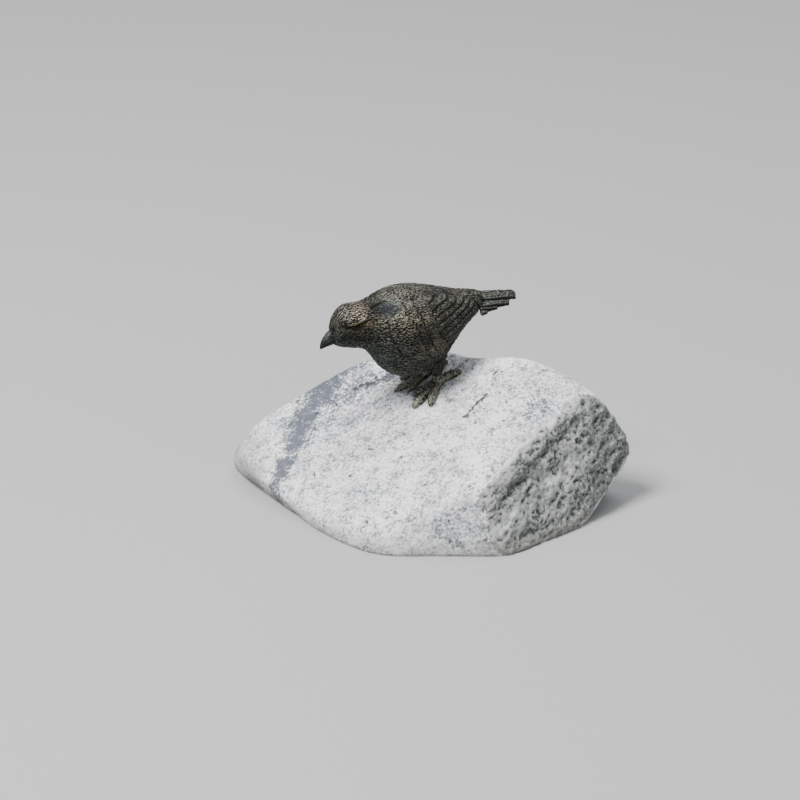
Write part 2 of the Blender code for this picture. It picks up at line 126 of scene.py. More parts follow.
class Grain:
    """Smooth random waves in space, the same on every run."""

    def __init__(self, seed: int) -> None:
        """Draws the waves' directions for a seed."""
        source = np.random.default_rng(seed)
        self.arrows = unit(source.normal(size=(NOISE_GRID, NOISE_GRID, NOISE_GRID, 3)))

    def waves(self, places: Array, size: float) -> Array:
        """Waves of one size.

        Args:
            places: where to read them, in millimetres.
            size: a wave's length in millimetres.

        Returns:
            Heights from about -1 to 1.
        """
        at = places / size
        cell = np.floor(at).astype(int)
        inside = at - cell
        blend = inside**3 * (inside * (inside * 6 - 15) + 10)
        total = np.zeros(len(at))
        for corner in itertools.product((0, 1), repeat=3):
            step = np.array(corner)
            key = (cell + step) % NOISE_GRID
            arrow = self.arrows[key[:, 0], key[:, 1], key[:, 2]]
            pull = np.einsum("ij,ij->i", arrow, inside - step)
            total += pull * np.prod(np.where(step == 1, blend, 1 - blend), axis=1)
        return total * 1.7

    def rough(self, places: Array, size: float, layers: int, crests: bool = False) -> Array:
        """Waves with smaller waves on them.

        Args:
            places: where to read them, in millimetres.
            size: the largest waves' length.
            layers: how many sizes, each about half the last.
            crests: whether each layer is folded into sharp crests.

        Returns:
            Heights from about -1 to 1.
        """
        total, share, whole = np.zeros(len(places)), 1.0, 0.0
        for layer in range(layers):
            wave = self.waves(places + 37.0 * layer, size / 2.1**layer)
            total += (1 - 2 * np.abs(wave) if crests else wave) * share
            whole += share
            share *= 0.52
        return total / whole


class Skin:
    """A closed mesh held as arrays in millimetres, with the sums that shape it."""

    def __init__(self, mesh: bpy.types.Mesh) -> None:
        """Reads the mesh.

        Args:
            mesh: the mesh, in metres.
        """
        self.mesh = mesh
        self.places = self._read(mesh.vertices, "co", 3).astype(float) / MM
        edges = np.zeros(len(mesh.edges) * 2, np.int32)
        mesh.edges.foreach_get("vertices", edges)
        self.edges = edges.reshape(-1, 2).astype(int)
        self.ways = np.bincount(self.edges.ravel(), minlength=len(self.places)).clip(1)

    @staticmethod
    def _read(rows: bpy.types.bpy_prop_collection, name: str, width: int) -> Array:
        """One property of a mesh's rows as an array.

        Args:
            rows: the mesh's vertices or normals.
            name: the property.
            width: how many numbers each row has.

        Returns:
            The rows.
        """
        flat = np.zeros(len(rows) * width, np.float32)
        rows.foreach_get(name, flat)
        return flat.reshape(-1, width)

    def around(self, values: Array) -> Array:
        """The mean of each place's neighbours.

        Args:
            values: one row for each place.

        Returns:
            Rows of the same width.
        """
        near, far, count = self.edges[:, 0], self.edges[:, 1], len(self.places)
        rows = values.reshape(count, -1)
        columns = [
            np.bincount(near, rows[far, k], count) + np.bincount(far, rows[near, k], count)
            for k in range(rows.shape[1])
        ]
        return (np.stack(columns, axis=1) / self.ways[:, None]).reshape(values.shape)

    def blurred(self, values: Array, rounds: int) -> Array:
        """Values eased into their neighbours.

        Args:
            values: one row for each place.
            rounds: how many times.

        Returns:
            The eased values.
        """
        for _ in range(rounds):
            values = values * 0.5 + self.around(values) * 0.5
        return values

    def smooth(self, weights: Array, rounds: int) -> None:
        """Eases the surface, more where the weight is high.

        Args:
            weights: from 0 to 1 for each place.
            rounds: how many times.
        """
        pull = 0.5 * weights[:, None]
        for _ in range(rounds):
            self.places += (self.around(self.places) - self.places) * pull

    def normals(self) -> Array:
        """The way each place looks."""
        self.write()
        return self._read(self.mesh.vertex_normals, "vector", 3).astype(float)

    def raise_by(self, heights: Array) -> None:
        """Moves each place out by its height in millimetres."""
        self.places += self.normals() * heights[:, None]

    def hollows(self, rounds: int) -> Array:
        """How many millimetres each place lies under its surroundings, as wide as the rounds."""
        sunk = self.blurred(self.places, rounds) - self.places
        return np.einsum("ij,ij->i", sunk, self.normals())

    def write(self) -> None:
        """Puts the places back into the mesh."""
        self.mesh.vertices.foreach_set("co", (self.places * MM).astype(np.float32).ravel())
        self.mesh.update()

    def keep(self, name: str, values: Array) -> None:
        """Stores a number for each place, under a name that a finish reads."""
        layer = self.mesh.attributes.new(name, "FLOAT", "POINT")
        layer.data.foreach_set("value", values.astype(np.float32))


# ---- making and unwrapping meshes --------------------------------------------------------------
def drawn_over(nodes: list[str], grow: float, voxel: float, name: str) -> bpy.types.Object:
    """One closed skin round several solids.

    Args:
        nodes: the CAD nodes that it covers.
        grow: millimetres that each solid swells first, which closes the gaps between them.
        voxel: the skin's cell size in millimetres.
        name: the new object's name.

    Returns:
        The skin.
    """
    build = bmesh.new()
    for node in nodes:
        build.from_mesh(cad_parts[node].data)
    bmesh.ops.remove_doubles(build, verts=build.verts, dist=1e-6)
    build.normal_update()
    moves = [(vertex, vertex.normal.copy()) for vertex in build.verts]
    for vertex, normal in moves:
        vertex.co += normal * grow * MM
    rough = bpy.data.meshes.new(name + "_rough")
    build.to_mesh(rough)
    build.free()
    made = bpy.data.objects.new(name, rough)
    bpy.context.scene.collection.objects.link(made)
    cells = made.modifiers.new("skin", "REMESH")
    cells.mode = "VOXEL"
    cells.voxel_size = voxel * MM
    graph = bpy.context.evaluated_depsgraph_get()
    mesh = bpy.data.meshes.new_from_object(made.evaluated_get(graph))
    made.modifiers.clear()
    made.data = mesh
    mesh.name = name
    bpy.data.meshes.remove(rough)
    mesh.shade_smooth()
    return made


def unwrap(piece: bpy.types.Object, angle: float = 1.15) -> None:
    """Lays the piece's skin flat in the map that its finish is baked on.

    Args:
        piece: a mesh, while it is still smooth.
        angle: how far a flat island may bend, in radians.
    """
    piece.data.uv_layers.new(name="OFBake")
    for other in bpy.context.selected_objects:
        other.select_set(False)
    bpy.context.view_layer.objects.active = piece
    piece.select_set(True)
    bpy.ops.object.mode_set(mode="EDIT")
    bpy.ops.mesh.select_all(action="SELECT")
    bpy.ops.uv.smart_project(angle_limit=angle, island_margin=0.002)
    bpy.ops.object.mode_set(mode="OBJECT")
    piece.select_set(False)


# ---- shader maths ---------------------------------------------------------------------------
class Recipe:
    """One material's nodes, and the ways to add to them."""

    def __init__(self, name: str) -> None:
        """Starts an empty material.

        Args:
            name: the material's name.
        """
        self.material = bpy.data.materials.new(name)
        self.material.use_nodes = True
        self.tree = self.material.node_tree
        self.shader = self.tree.nodes["Principled BSDF"]

    def add(
        self, kind: str, settings: dict | None = None, inputs: dict | None = None, out: int | str = 0
    ) -> "Value":
        """Adds a node.

        Args:
            kind: the node's type.
            settings: its settings, which are set first.
            inputs: what its sockets get, by name or number: values, or Values to link.
            out: which output to hand back.

        Returns:
            The output.
        """
        node = self.tree.nodes.new(kind)
        for name, setting in (settings or {}).items():
            setattr(node, name, setting)
        for name, given in (inputs or {}).items():
            if isinstance(given, Value):
                self.tree.links.new(given.socket, node.inputs[name])
            else:
                node.inputs[name].default_value = given
        return Value(self, node.outputs[out])

    def stored(self, name: str) -> "Value":
        """What a mesh stores under a name."""
        return self.add("ShaderNodeAttribute", {"attribute_name": name}, out="Fac")

    def place(self) -> "Value":
        """Where the surface is, in metres."""
        return self.add("ShaderNodeTexCoord", out="Object")

    def speckle(self, at: "Value", size: float, detail: float = 2.0, rough: float = 0.5) -> "Value":
        """Noise from 0 to 1, with waves of a size in metres."""
        inputs = {"Vector": at, "Scale": 1.0 / size, "Detail": detail, "Roughness": rough}
        return self.add("ShaderNodeTexNoise", None, inputs)

    def crystals(self, at: "Value", size: float) -> "Value":
        """A separate random grey for each crystal.

        Args:
            at: where they are read, in metres.
            size: a crystal's size in metres.

        Returns:
            Greys from 0 to 1.
        """
        inputs = {"Vector": at, "Scale": 1.0 / size}
        colour = self.add("ShaderNodeTexVoronoi", {"feature": "F1"}, inputs, out="Color")
        return self.add("ShaderNodeSeparateColor", None, {0: colour})

    def mix(self, share: "Value | float", first: "Value | tuple", second: "Value | tuple") -> "Value":
        """Blends two colours.

        Args:
            share: how much of the second shows.
            first: a colour.
            second: a colour.

        Returns:
            The blend.
        """
        settings = {"data_type": "RGBA", "clamp_factor": True}
        colours = [c if isinstance(c, Value) else (*c, 1.0) for c in (first, second)]
        return self.add("ShaderNodeMix", settings, {0: share, 6: colours[0], 7: colours[1]}, out=2)

    def step(self, value: "Value", low: float, high: float) -> "Value":
        """A smooth step.

        Args:
            value: the number to step.
            low: where it starts.
            high: where it ends.

        Returns:
            Numbers from 0 to 1.
        """
        settings = {"interpolation_type": "SMOOTHSTEP", "clamp": True}
        names = {"Value": value, "From Min": low, "From Max": high}
        return self.add("ShaderNodeMapRange", settings, names)

    def bump(self, height: "Value", depth: float) -> "Value":
        """The normal bent by a relief, where a height of 1 stands as high as the depth."""
        inputs = {"Height": height, "Distance": depth, "Strength": 1.0}
        return self.add("ShaderNodeBump", None, inputs)

    def feed(self, **sockets: "Value | float | tuple") -> None:
        """Sets the shader's sockets.

        Args:
            sockets: each socket's name, with _ for a space, and what it gets.
        """
        for name, given in sockets.items():
            socket = self.shader.inputs[name.replace("_", " ")]
            if isinstance(given, Value):
                self.tree.links.new(given.socket, socket)
            else:
                socket.default_value = given


class Value:
    """A number in a material that Python's operators can work on."""

    def __init__(self, recipe: Recipe, socket: bpy.types.NodeSocket) -> None:
        """Wraps an output of a material."""
        self.recipe = recipe
        self.socket = socket

    def _sum(self, operation: str, *given: "Value | float") -> "Value":
        """Adds a Math node that works on what is given."""
        return self.recipe.add("ShaderNodeMath", {"operation": operation}, dict(enumerate(given)))

    def __add__(self, other: "Value | float") -> "Value":
        """self + other."""
        return self._sum("ADD", self, other)

    __radd__ = __add__

    def __sub__(self, other: "Value | float") -> "Value":
        """self - other."""
        return self._sum("SUBTRACT", self, other)

    def __rsub__(self, other: float) -> "Value":
        """other - self."""
        return self._sum("SUBTRACT", other, self)

    def __mul__(self, other: "Value | float") -> "Value":
        """self * other."""
        return self._sum("MULTIPLY", self, other)

    __rmul__ = __mul__

    def clamped(self) -> "Value":
        """self, kept from 0 to 1."""
        settings = {"clamp_type": "MINMAX"}
        return self.recipe.add("ShaderNodeClamp", settings, {"Value": self, "Min": 0.0, "Max": 1.0})


# ---- where the bird is -------------------------------------------------------------------------
@dataclass(frozen=True)
class Stance:
    """Where the bird stands on the stone, and which way it looks."""

    seat: Place = (2.6, 35.6, 77.3)
    heading: float = 200.0  # degrees from +X
    slope: Pair = (0.39, 0.43)  # rise of the seat along X and Y

    def axes(self) -> Array:
        """The bird's own directions.

        Returns:
            Ahead, left and up, as rows.
        """
        turn = math.radians(self.heading)
        ahead = (math.cos(turn), math.sin(turn), 0.0)
        return np.array([ahead, (-ahead[1], ahead[0], 0.0), (0.0, 0.0, 1.0)])

    def in_bird(self, places: Array) -> Array:
        """Places in the bird's own frame, as rows of u, v and w in millimetres."""
        return (places - np.array(self.seat)) @ self.axes().T

    def from_bird(self, place: Place) -> Array:
        """A place given as u, v and w, in the part's frame in millimetres."""
        return np.array(place) @ self.axes() + np.array(self.seat)

    def height(self, places: Array) -> Array:
        """How far places stand square off the seat.

        Args:
            places: places in the part's frame, in millimetres.

        Returns:
            Heights in millimetres.
        """
        x, y, z = (places - np.array(self.seat)).T
        rise = x * self.slope[0] + y * self.slope[1]
        return (z - rise) / math.hypot(1.0, *self.slope)


# ---- the bird's surface ---------------------------------------------------------------------------
@dataclass(frozen=True)
class WingForm:
    """The folded wing: flight feathers that fan from a far focus, under rows of coverts."""

    outline: tuple[Place, ...] = (
        (-29.5, 55.4, 52.8),
        (-26.0, 60.2, 50.8),
        (-20.0, 63.2, 47.0),
        (-12.0, 65.6, 41.0),
        (-3.0, 67.8, 34.6),
        (6.0, 69.4, 29.6),
        (15.0, 70.0, 27.6),
        (24.0, 69.4, 29.4),
        (31.0, 67.0, 34.4),
        (36.5, 62.2, 42.6),
        (39.5, 56.6, 49.6),
    )  # u, upper edge, lower edge
    focus: Pair = (-106.0, 102.0)
    first_turn: float = 13.0  # degrees below level of the uppermost feather
    feather_turn: float = 2.2
    feather_step: float = 0.72
    rows: tuple[float, ...] = (124.0, 133.0, 139.5)  # covert tips, from the focus
    row_turn: tuple[float, ...] = (2.6, 2.1, 1.8)
    row_step: float = 0.42
    shoulder: float = 148.0  # beyond this small feathers take over
    border_step: float = 0.8
    border_groove: float = 0.75

    def edge(self, at: Array) -> Array:
        """How far inside the wing's outline places are, seen from the side.

        Args:
            at: places in the bird's frame.

        Returns:
            Millimetres, negative outside.
        """
        side = at[:, [0, 2]]
        upper = [(u, top) for u, top, _ in self.outline]
        lower = [(u, bottom) for u, _, bottom in self.outline]
        loop = tuple(upper + lower[::-1] + upper[:1])
        away = line_distance(side, loop)
        u, w = side.T
        within = (w < smooth_row(self.outline, 1, u)) & (w > smooth_row(self.outline, 2, u))
        within &= (u > self.outline[0][0]) & (u < self.outline[-1][0])
        return np.where(within, away, -away)

    def relief(self, at: Array, wander: Array) -> tuple[Array, Array, Array]:
        """The feathers' relief.

        Args:
            at: places in the bird's frame.
            wander: slow waves from -1 to 1 that keep the rows from being exact.

        Returns:
            Heights in millimetres, how much of a feathered wing each place is, and how close it
            is to the painted shade lines under the feathers' edges and below the wing's border, both
            from 0 to 1.
        """
        ahead, below = at[:, 0] - self.focus[0], self.focus[1] - at[:, 2]
        reach = np.hypot(ahead, below) + wander * 1.8
        turn = np.degrees(np.arctan2(below, ahead)) + wander * 0.55
        heights, line = self._flight(reach, turn)
        for k, tip in enumerate(self.rows):
            share = (turn / self.row_turn[k] + 0.5 * (k % 2)) % 1.0
            bulge = 1.5 * (1 - (2 * share - 1) ** 2) - 0.75
            inside = reach - tip + bulge
            row = self.row_step * (1.25 - inside / 8.0) - 0.16 * hill((share % 1.0) - 0.02, 0.08)
            heights = np.where(inside > 0, row * ease(-0.1, 0.35, inside), heights)
            line = np.where(inside > 0, 0.0, line)
            line = np.maximum(line, hill(inside + 0.5, 0.6) * (0.55 + 0.3 * wander))
        edge = self.edge(at)
        on = ease(-0.1, 0.5, edge) * (1 - ease(self.shoulder - 10, self.shoulder, reach))
        border = self.border_step * ease(-0.2, 0.6, edge) - self.border_groove * hill(edge + 1.0, 0.9)
        seen = (1 - 0.65 * ease(56.0, 62.0, at[:, 2])) * (1 - 0.85 * ease(2.0, 16.0, at[:, 0]))
        # painted shadow: a band just below the wing's border, painted near-black with the lines
        under = hill(edge + 0.9, 0.9) * seen
        return heights * on + border * seen, on, np.maximum(line * on, under)

    def _flight(self, reach: Array, turn: Array) -> tuple[Array, Array]:
        """The long feathers, each lapping the one below it.

        Args:
            reach: distance from the focus.
            turn: degrees below level.

        Returns:
            Heights in millimetres, and how close each place is to a painted shade line under an edge.
        """
        share = ((turn - self.first_turn) / self.feather_turn) % 1.0
        width = np.radians(self.feather_turn) * reach
        step = self.feather_step * (0.15 + 0.85 * share) * (1 - ease(0.84, 0.99, share))
        shaft = 0.13 * hill((share - 0.42) * width, 0.32)
        gap = np.minimum(share, 1 - share) * width
        return step + shaft, hill(gap, 0.6)


@dataclass(frozen=True)
class TailForm:
    """The tail: lapped feathers on each side of its middle."""

    root: float = -31.0
    tip: float = -61.6
    half_widths: Pair = (13.0, 10.6)  # at the root and at the tip
    splits: tuple[float, ...] = (0.0, 0.47, 0.76, 0.88, 1.0)  # feather edges across a half
    step: float = 0.55
    groove: float = 0.6

    def relief(self, at: Array, upper: Array) -> tuple[Array, Array]:
        """The feathers' relief.

        Args:
            at: places in the bird's frame.
            upper: 1 on the tail's upper side, 0 under it.

        Returns:
            Heights in millimetres, and how close each place is to a painted shade line between
            feathers.
        """
        along = np.clip((self.root - at[:, 0]) / (self.root - self.tip), 0.0, 1.0)
        half = self.half_widths[0] + (self.half_widths[1] - self.half_widths[0]) * along
        across = np.abs(at[:, 1]) / half
        inner = np.searchsorted(self.splits, across.clip(0.0, 0.999), side="right") - 1
        edges = np.array(self.splits)
        width = (edges[inner + 1] - edges[inner]) * half
        share = (across - edges[inner]) / (edges[inner + 1] - edges[inner])
        joint = np.min([np.abs(across - edge) for edge in self.splits[1:-1]], axis=0) * half
        step = self.step * (share - 0.5) * (1 - ease(0.90, 1.0, share))
        shaft = 0.16 * hill((share - 0.45) * width, 0.35)
        cut = self.groove * hill(joint, 0.36)
        on = ease(self.root + 3.0, self.root - 3.0, at[:, 0])
        line = hill(joint, 0.55) * on
        return (step + shaft - cut) * on * (0.35 + 0.65 * upper), line


@dataclass(frozen=True)
class HeadForm:
    """The brow, the cheek, the eye's rim and the bill's gape."""

    eye: Place = (69.6, 9.2, 54.3)
    brow: tuple[Pair, ...] = (
        (72.0, 53.0),
        (66.4, 54.2),
        (62.8, 54.8),
        (57.1, 56.4),
        (50.0, 59.0),
    )
    gape: tuple[Pair, ...] = ((74.4, 41.9), (78.6, 39.3), (83.4, 35.7))
    nostril: Place = (77.2, 3.3, 43.7)
    bill_root: Place = (75.0, 0.0, 42.8)

    def relief(self, at: Array) -> Array:
        """The head's relief.

        Args:
            at: places in the bird's frame, with v taken as positive.

        Returns:
            Heights in millimetres.
        """
        side = at[:, [0, 2]]
        brow = line_distance(side, self.brow)
        brow_u, brow_w = np.array(self.brow[::-1]).T
        above = at[:, 2] > np.interp(at[:, 0], brow_u, brow_w)
        on = ease(49.0, 57.0, at[:, 0]) * (1 - ease(68.0, 71.0, at[:, 0])) * ease(4.0, 7.0, at[:, 1])
        fall = 1.0 - 2.2 * ease(0.0, 1.5, brow) * hill(brow, 6.0)
        ledge = np.where(above, hill(brow, 3.2), np.maximum(fall, -1.2) * hill(brow, 5.5))
        ring = np.linalg.norm(at - np.array(self.eye), axis=1)
        rim = 0.62 * (1 - ease(2.6, 3.8, ring)) + 0.05 * hill(ring - 3.5, 0.6)
        gape = -0.7 * hill(line_distance(side, self.gape), 0.5) * ease(0.4, 1.2, at[:, 1])
        hole = -0.6 * hill(np.linalg.norm(at - np.array(self.nostril), axis=1), 0.9)
        seam = -0.35 * hill(self.bill_edge(at), 0.8) * (at[:, 0] > 68.0)
        return ledge * on * ease(2.0, 4.5, ring) + rim + gape + hole + seam

    def bill_edge(self, at: Array) -> Array:
        """How many millimetres ahead of the bill's back edge places lie."""
        return (at[:, 0] - self.bill_root[0]) * 0.957 - (at[:, 2] - self.bill_root[2]) * 0.29 - 0.4


@dataclass(frozen=True)
class Plumage:
    """Small lapped feathers, and the short tool strokes over them."""

    head: float = 1.5  # millimetres between feather tips
    body: float = 2.6
    lift: float = 0.34
    stroke_length: float = 0.75
    stroke_width: float = 0.95
    stroke_height: float = 0.44
    tongue: float = 0.62  # half a feather's width, in tip spacings

    def lie(self, at: Array, normals: Array, face: Place) -> Array:
        """The way that the feathers point.

        Args:
            at: places in the bird's frame.
            normals: the way each place looks, in the bird's frame.
            face: the bill's root, which the face's feathers point away from.

        Returns:
            Directions along the surface.
        """
        share = ease(58.0, 70.0, at[:, 0])[:, None]
        ways = (1 - share) * np.array([[-1.0, 0.0, -0.12]]) + share * unit(at - np.array(face))
        thigh = (ease(19.0, 12.0, at[:, 2]) * (at[:, 0] < 12.0))[:, None]
        ways = ways * (1 - thigh) + thigh * np.array([[0.1, 0.0, -1.0]])
        ways -= normals * np.einsum("ij,ij->i", ways, normals)[:, None]
        return unit(ways)

    def spacing(self, at: Array) -> Array:
        """How many millimetres apart the feather tips are at each place."""
        return self.body + (self.head - self.body) * ease(38.0, 54.0, at[:, 0])

    def scales(self, at: Array, lie: Array, normals: Array) -> Array:
        """The lapped feathers.

        Args:
            at: places in the bird's frame.
            lie: the way that the feathers point.
            normals: the way each place looks.

        Returns:
            Heights from 0 to 1.
        """
        spacing = self.spacing(at)
        tips = self._tips(at, spacing)
        tree = kdtree.KDTree(len(tips))
        for i, tip in enumerate(tips):
            tree.insert(Vector(at[tip]), i)
        tree.balance()
        near = tips[np.array([[i for _, i, _ in tree.find_n(Vector(p), 9)] for p in at])]
        gap = at[near] - at[:, None, :]
        size = spacing[near]
        along = np.einsum("ijk,ijk->ij", gap, lie[near]) / size
        across = np.einsum("ijk,ijk->ij", gap, np.cross(normals, lie)[near]) / size
        inside = along - 0.5 * (across / self.tongue) ** 2
        heights = (1 - inside / 1.9).clip(0.0, 1.0) * ease(0.0, 0.14, inside)
        return (heights * (1 - ease(0.62, 0.85, np.abs(across)))).max(axis=1)

    @staticmethod
    def _tips(at: Array, spacing: Array) -> Array:
        """Feather tips scattered evenly over the surface.

        Args:
            at: places in the bird's frame.
            spacing: how far apart tips are at each place.

        Returns:
            The rows of `at` that are tips.
        """
        order = np.random.default_rng(11).permutation(len(at))
        taken: dict[tuple[int, int, int], list[int]] = {}
        tips = []
        cell = float(spacing.max())
        keys = np.floor(at / cell).astype(int)
        around = list(itertools.product((-1, 0, 1), repeat=3))
        for i in order:
            x, y, z = keys[i]
            close = [j for a, b, c in around for j in taken.get((x + a, y + b, z + c), ())]
            if close and (((at[close] - at[i]) ** 2).sum(axis=1)).min() < spacing[i] ** 2:
                continue
            taken.setdefault((x, y, z), []).append(i)
            tips.append(i)
        return np.array(tips)

    def strokes(self, at: Array, lie: Array, grain: Grain) -> Array:
        """Short strokes along the feathers.

        Args:
            at: places in the bird's frame.
            lie: the way that the feathers point.
            grain: the waves that the strokes are drawn from.

        Returns:
            Heights from -1 to 1.
        """
        shifts = np.linspace(-self.stroke_length, self.stroke_length, 6)
        total = sum(grain.waves(at + lie * shift, self.stroke_width) for shift in shifts)
        return np.clip(total / 2.2, -1.0, 1.0)


@dataclass(frozen=True)
class BronzePatch:
    """A tinted patch of the bird's left side; its right side gets the same."""

    place: Place
    reach: float
    squash: Way = (1.0, 1.0, 1.0)

    def share(self, at: Array) -> Array:
        """How much of the patch each place has, from 0 to 1, with v taken as positive."""
        away = (at - np.array(self.place)) / np.array(self.squash)
        return hill(np.linalg.norm(away, axis=1), self.reach)


@dataclass
class BronzeBird:
    """The cast bird: one skin over its solids, with its feathers, face, feet, patina, painted shade
    and painted sheen.
    """

    stance: Stance
    voxel: float = 0.575
    grow: float = 0.25
    ease_rounds: int = 42
    wing: WingForm = WingForm()
    tail: TailForm = TailForm()
    head: HeadForm = HeadForm()
    plumage: Plumage = Plumage()
    scute: float = 2.3  # the rings along the toes
    ring_depth: float = 0.3
    toe_roots: tuple[Pair, ...] = ((-2.6, 5.6), (1.6, -8.5))  # what the rings run round
    feet_top: Pair = (12.0, 8.0)  # heights over which feathers give way to the feet
    patina_top: Pair = (10.0, 5.0)  # heights over which the feet's own patina begins
    bill_from: Pair = (72.0, 76.0)  # u over which the bill keeps its edges
    bill_back: float = 66.0  # no bill behind this u
    bill_tip: Pair = (79.0, 83.5)  # u over which the bill is drawn out
    tail_from: Pair = (-30.0, -36.0)  # u over which the tail keeps its edges
    plain_from: Pair = (-30.0, -35.0)  # u over which small feathers give way to the tail's
    eye_clear: Pair = (2.9, 3.6)  # how far from the eye small feathers begin
    full_pit: float = 0.17  # how deep a full pit is
    full_hollow: float = 0.5  # how deep a full broad hollow is
    stouter: Pair = (0.15, 0.5)  # millimetres added to both feet, and again to the left one
    bill_stretch: Way = (0.7, 0.0, -0.7)  # gives the eased tip its point
    hollow: BronzePatch = BronzePatch((38.0, 14.0, 63.5), 5.5, (1.2, 1.4, 0.85))
    hollow_depth: float = 1.8
    crease: tuple[Place, ...] = ((48.5, 9.0, 64.5), (40.0, 10.0, 68.5))
    crease_depth: float = 0.9
    # golden wear on the crown, the brow and the shoulder, partly a painted highlight where light
    # falls on them
    worn: tuple[BronzePatch, ...] = (
        BronzePatch((58.5, 6.0, 62.6), 5.0, (1.1, 1.5, 0.8)),
        BronzePatch((58.0, 10.0, 59.0), 3.2, (1.3, 1.5, 0.5)),
        BronzePatch((25.0, 19.0, 56.5), 7.0, (1.4, 1.5, 0.85)),
        BronzePatch((14.0, 21.0, 58.5), 4.6, (1.4, 1.4, 0.7)),
    )
    green: tuple[BronzePatch, ...] = (
        BronzePatch((70.0, 6.0, 44.0), 6.5, (1.6, 1.5, 0.9)),
        BronzePatch((38.0, 15.0, 64.5), 6.0, (1.2, 1.4, 0.8)),
        BronzePatch((41.0, 12.0, 26.0), 10.0, (1.2, 1.5, 1.1)),
        BronzePatch((-44.0, 6.0, 59.0), 9.0, (1.5, 1.5, 1.0)),
    )
    # painted sheen: lilac-grey reflections on the crown's front, the bill's top, the nape and the
    # back
    painted_sheen: tuple[BronzePatch, ...] = (
        BronzePatch((67.0, 4.0, 61.0), 6.5, (1.0, 1.5, 1.0)),
        BronzePatch((78.0, 1.0, 44.5), 3.8, (1.0, 1.5, 1.0)),
        BronzePatch((30.0, 4.0, 71.0), 6.0, (1.2, 2.0, 0.9)),
        BronzePatch((2.0, 5.0, 70.0), 9.0, (2.2, 1.6, 0.8)),
    )
    brown: tuple[BronzePatch, ...] = (
        BronzePatch((58.0, 11.0, 54.0), 5.0, (2.2, 1.5, 0.6)),
        BronzePatch((8.0, 18.0, 37.0), 6.5, (1.6, 1.6, 0.9)),
        BronzePatch((20.0, 19.0, 50.0), 6.0, (1.6, 1.5, 0.8)),
    )
    # painted shade: near-black patches under the brow, round the eye, on the lores and lower face,
    # under the bill, on the nape, by the shoulder and on the flank and belly below the wing
    painted_shade: tuple[BronzePatch, ...] = (
        BronzePatch((59.0, 12.0, 52.0), 5.0, (1.7, 1.5, 0.5)),
        BronzePatch((66.0, 9.0, 46.0), 7.0, (1.3, 1.5, 0.9)),
        BronzePatch((47.0, 8.0, 64.0), 7.5, (1.0, 1.7, 1.0)),
        BronzePatch((69.5, 9.5, 54.0), 5.0, (1.2, 1.4, 0.9)),
        BronzePatch((44.0, 11.0, 66.5), 3.2, (1.6, 1.4, 0.7)),
        BronzePatch((75.0, 4.0, 49.5), 2.8, (1.0, 1.5, 1.2)),
        BronzePatch((80.0, 0.0, 36.5), 4.2, (1.0, 1.5, 0.8)),
        BronzePatch((-12.0, 14.0, 34.0), 8.0, (1.9, 1.6, 0.5)),
        BronzePatch((18.0, 21.0, 44.0), 7.0, (1.5, 1.5, 0.8)),
        BronzePatch((2.0, 8.0, 19.0), 7.0, (1.3, 1.4, 0.9)),
    )

    def build(self, nodes: list[str], finish: bpy.types.Material) -> bpy.types.Object:
        """Makes the bird's skin.

        Args:
            nodes: the CAD nodes that the skin covers.
            finish: its material.

        Returns:
            The skin.
        """
        piece = drawn_over(nodes, self.grow, self.voxel, "bronze_bird")
        skin = Skin(piece.data)
        self._ease(skin)
        skin.write()
        unwrap(piece)
        relief, line = self._relief(skin)
        skin.raise_by(relief)
        self._press_soles(skin)
        self._store(skin, line)
        piece.data.materials.append(finish)
        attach(piece, "root")
        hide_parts(*nodes)
        return piece

    def _ease(self, skin: Skin) -> None:
        """Rounds the solids' facets and joints, gently where the form is fine.

        Args:
            skin: the bird's skin.
        """
        at = self.stance.in_bird(skin.places)
        height = self.stance.height(skin.places)
        low = np.maximum(ease(17.0, 12.0, height), ease(24.0, 21.0, height) * (at[:, 0] < 8.0))
        bill = ease(*self.bill_from, at[:, 0])
        tail = ease(*self.tail_from, at[:, 0])
        border = hill(self.wing.edge(at), 1.6) * (at[:, 2] < 62.0)
        fine = np.maximum.reduce([low * 0.965, bill * 0.94, tail * 0.8, border * 0.75])
        skin.smooth(1 - fine, self.ease_rounds)
        stout = self.stouter[0] + self.stouter[1] * (at[:, 1] > 0.0)
        skin.raise_by(stout * low - self.grow * np.maximum(0.4 * bill, tail))
        reach = ease(*self.bill_tip, at[:, 0])[:, None]
        skin.places += reach * np.array([self.bill_stretch]) @ self.stance.axes()

